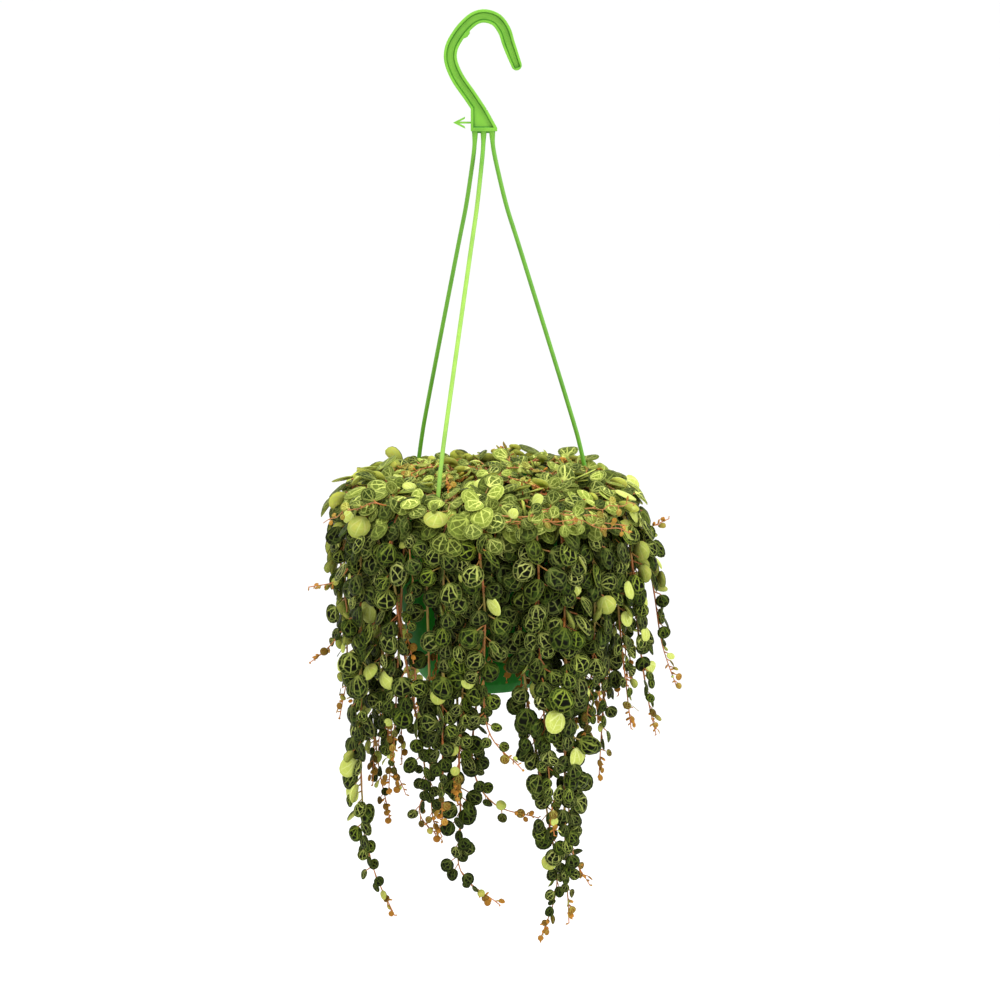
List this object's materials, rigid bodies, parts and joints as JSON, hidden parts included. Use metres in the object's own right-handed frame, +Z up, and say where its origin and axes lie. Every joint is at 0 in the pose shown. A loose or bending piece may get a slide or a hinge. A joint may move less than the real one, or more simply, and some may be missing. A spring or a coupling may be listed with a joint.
{
  "type": "potted string of turtles in a hanging pot",
  "caption": "Hanging pot on a hook hanger with three strands, filled with a trailing plant whose round, fleshy, net-veined leaves cover the top and hang over the rim.",
  "frame": {"origin": "the flat at the top inside the hook, where the hanger rests on what carries it", "axes": "+Z up; the hook lies in the XZ plane with its open side towards +X; the picture looks along +Y"},
  "size_m": [0.2459, 0.2231, 0.6035],
  "materials": {
    "hanger_plastic": "satin",
    "pot_plastic": "satin",
    "soil": "matte",
    "crown_leaves": "satin",
    "trailing_leaves": "satin"
  },
  "bodies": {
    "root": {"back_stem_01": "trailing_leaves", "back_stem_02": "trailing_leaves", "back_stem_03": "trailing_leaves", "back_stem_04": "trailing_leaves", "back_stem_05": "trailing_leaves", "back_stem_06": "trailing_leaves", "back_stem_07": "trailing_leaves", "back_stem_08": "trailing_leaves", "back_stem_09": "trailing_leaves", "back_stem_10": "trailing_leaves", "back_stem_11": "trailing_leaves", "back_stem_12": "trailing_leaves", "back_stem_13": "trailing_leaves", "back_stem_14": "trailing_leaves", "back_stem_15": "trailing_leaves", "back_stem_16": "trailing_leaves", "back_stem_17": "trailing_leaves", "back_stem_18": "trailing_leaves", "front_stem_01": "trailing_leaves", "front_stem_02": "trailing_leaves", "front_stem_03": "trailing_leaves", "front_stem_04": "trailing_leaves", "front_stem_05": "trailing_leaves", "front_stem_06": "trailing_leaves", "front_stem_07": "trailing_leaves", "front_stem_08": "trailing_leaves", "front_stem_09": "trailing_leaves", "front_stem_10": "trailing_leaves", "front_stem_11": "trailing_leaves", "front_stem_12": "trailing_leaves", "front_stem_13": "trailing_leaves", "front_stem_14": "trailing_leaves", "front_stem_15": "trailing_leaves", "front_stem_16": "trailing_leaves", "front_stem_17": "trailing_leaves", "front_stem_18": "trailing_leaves", "front_stem_19": "trailing_leaves", "front_stem_20": "trailing_leaves", "front_stem_21": "trailing_leaves", "front_stem_22": "trailing_leaves", "front_stem_23": "trailing_leaves", "front_stem_24": "trailing_leaves", "front_stem_25": "trailing_leaves", "front_stem_26": "trailing_leaves", "hanger": "hanger_plastic", "pot": "pot_plastic", "short_stem_01": "crown_leaves", "short_stem_02": "crown_leaves", "short_stem_03": "crown_leaves", "short_stem_04": "crown_leaves", "short_stem_05": "crown_leaves", "short_stem_06": "crown_leaves", "short_stem_07": "crown_leaves", "short_stem_08": "crown_leaves", "short_stem_09": "crown_leaves", "short_stem_10": "crown_leaves", "soil": "soil"}
  },
  "joints": []
}
